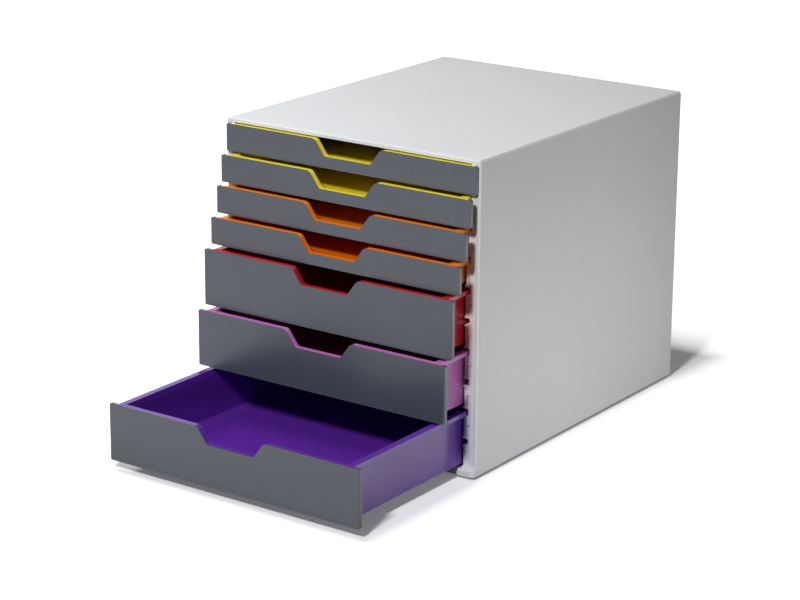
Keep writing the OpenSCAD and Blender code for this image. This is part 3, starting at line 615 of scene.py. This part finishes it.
FLOOR_R, FLOOR_SIDES = 14, 96
# The patch of floor that shows the unit's shadow is as wide as the unit, and runs from its front to twice
# SHADOW_REACH behind its back. Outside it a painted white glow grows and hides the shadow. RUN_OUT is about
# how far that painted glow takes to turn the paper into the white background
SHADOW_REACH, RUN_OUT = 38 * MM, 35 * MM
SHADOW_MIDDLE = (0, SHADOW_REACH, 0)
SHADOW_HALF = (cad_box[1][X], cad_box[1][Y] + SHADOW_REACH, 0)
# How much painted white glow the paper gives off inside the patch, on top of the light that shows its shadow
NEAR_GLOW = 0.13
# The paper as it is seen, and as it lights the unit
PAPER_SEEN, PAPER_BOUNCE = "#f8f8f8", "#5c5c5c"
# How bright the white background is as a light for the unit. To the eye it is 1
WORLD_LIGHT = 0.04
# The soft boxes: name, place, the point that each faces, width, height, and power in watts. The key hangs
# high in front and to the right, the second one above and to the left, facing the roof, and a low one
# stands beside the right side
SOFT_BOXES = [
    ("key_softbox", (0.45, -1.95, 1.85), (0, 0, 0.1), 0.30, 0.30, 51),
    ("top_softbox", (-0.62, -0.30, 1.05), (0, -0.05, 0.29), 0.6, 0.6, 5.7),
    ("side_softbox", (0.56, 0.06, 0.05), (0.14, 0.03, 0.0), 0.40, 0.08, 0.86)]


def studio_floor():
    """White studio paper. Close to the unit it shows its shadow. Further out a painted white glow, seen only
    by the camera and by gloss, grows until it hides the shadow and the paper runs into the white background.
    The light that it throws back on the unit is that of a much greyer paper, because the unit's narrow gaps
    are dark."""
    material, tree = new_material("studio_paper_white")
    place = node(tree, "ShaderNodeTexCoord").outputs["Object"]
    ray = node(tree, "ShaderNodeLightPath")
    seen = node(tree, "ShaderNodeMath", {
        0: ray.outputs["Is Camera Ray"], 1: ray.outputs["Is Glossy Ray"]}, operation="MAXIMUM")
    tint = node(tree, "ShaderNodeMix", {
        "Factor": seen, "A": linear(PAPER_BOUNCE), "B": linear(PAPER_SEEN)}, data_type="RGBA")
    paper = node(tree, "ShaderNodeBsdfDiffuse", {"Color": tint})
    # Painted light: the paper's white glow grows with its distance outside the shadow patch, and inside the
    # patch only NEAR_GLOW of it is left
    centred = node(tree, "ShaderNodeVectorMath", {0: place, 1: SHADOW_MIDDLE}, operation="SUBTRACT")
    sides = node(tree, "ShaderNodeVectorMath", {0: centred}, operation="ABSOLUTE")
    past = node(tree, "ShaderNodeVectorMath", {0: sides, 1: SHADOW_HALF}, operation="SUBTRACT")
    outside = node(tree, "ShaderNodeVectorMath", {0: past, 1: (0, 0, 0)}, operation="MAXIMUM")
    distance = node(tree, "ShaderNodeVectorMath", {0: outside}, operation="LENGTH")
    run = node(tree, "ShaderNodeMath", {0: distance, 1: -RUN_OUT}, operation="DIVIDE")
    shade = node(tree, "ShaderNodeMath", {0: run}, operation="EXPONENT")
    glow = node(tree, "ShaderNodeMapRange", {"Value": shade, "To Min": 1.0, "To Max": NEAR_GLOW})
    strength = node(tree, "ShaderNodeMath", {0: seen, 1: glow}, operation="MULTIPLY")
    # The painted white glow, given off for the camera and for gloss only
    white = node(tree, "ShaderNodeEmission", {"Color": linear("#ffffff"), "Strength": strength})
    both = node(tree, "ShaderNodeAddShader", {0: paper, 1: white})
    node(tree, "ShaderNodeOutputMaterial", {"Surface": both})
    shape = bmesh.new()
    bmesh.ops.create_circle(shape, cap_ends=True, radius=FLOOR_R, segments=FLOOR_SIDES)
    mesh = bpy.data.meshes.new("floor")
    shape.to_mesh(mesh)
    shape.free()
    mesh.materials.append(material)
    floor = bpy.data.objects.new("floor", mesh)
    bpy.context.scene.collection.objects.link(floor)


def area_light(name, place, aim, width, height, power):
    """A soft box at place, facing aim. The camera doesn't see the box itself."""
    data = bpy.data.lights.new(name, "AREA")
    data.shape = "RECTANGLE"
    data.size, data.size_y = width, height
    data.energy = power
    lamp = bpy.data.objects.new(name, data)
    lamp.visible_camera = False
    bpy.context.scene.collection.objects.link(lamp)
    lamp.location = place
    lamp.rotation_euler = (Vector(aim) - Vector(place)).to_track_quat("-Z", "Y").to_euler()


def background():
    """White to the camera and to gloss, and a faint even light to the unit."""
    world = bpy.data.worlds.new("studio")
    bpy.context.scene.world = world
    world.use_nodes = True
    tree = world.node_tree
    tree.nodes.clear()
    ray = node(tree, "ShaderNodeLightPath")
    seen = node(tree, "ShaderNodeMath", {
        0: ray.outputs["Is Camera Ray"], 1: ray.outputs["Is Glossy Ray"]}, operation="MAXIMUM")
    through = node(tree, "ShaderNodeMath", {
        0: seen, 1: ray.outputs["Is Transmission Ray"]}, operation="MAXIMUM")
    strength = node(tree, "ShaderNodeMapRange", {"Value": through, "To Min": WORLD_LIGHT, "To Max": 1.0})
    light = node(tree, "ShaderNodeBackground", {"Color": linear("#ffffff"), "Strength": strength})
    node(tree, "ShaderNodeOutputWorld", {"Surface": light})


studio_floor()
for soft_box in SOFT_BOXES:
    area_light(*soft_box)
background()

bpy.context.scene.view_settings.view_transform = "Standard"
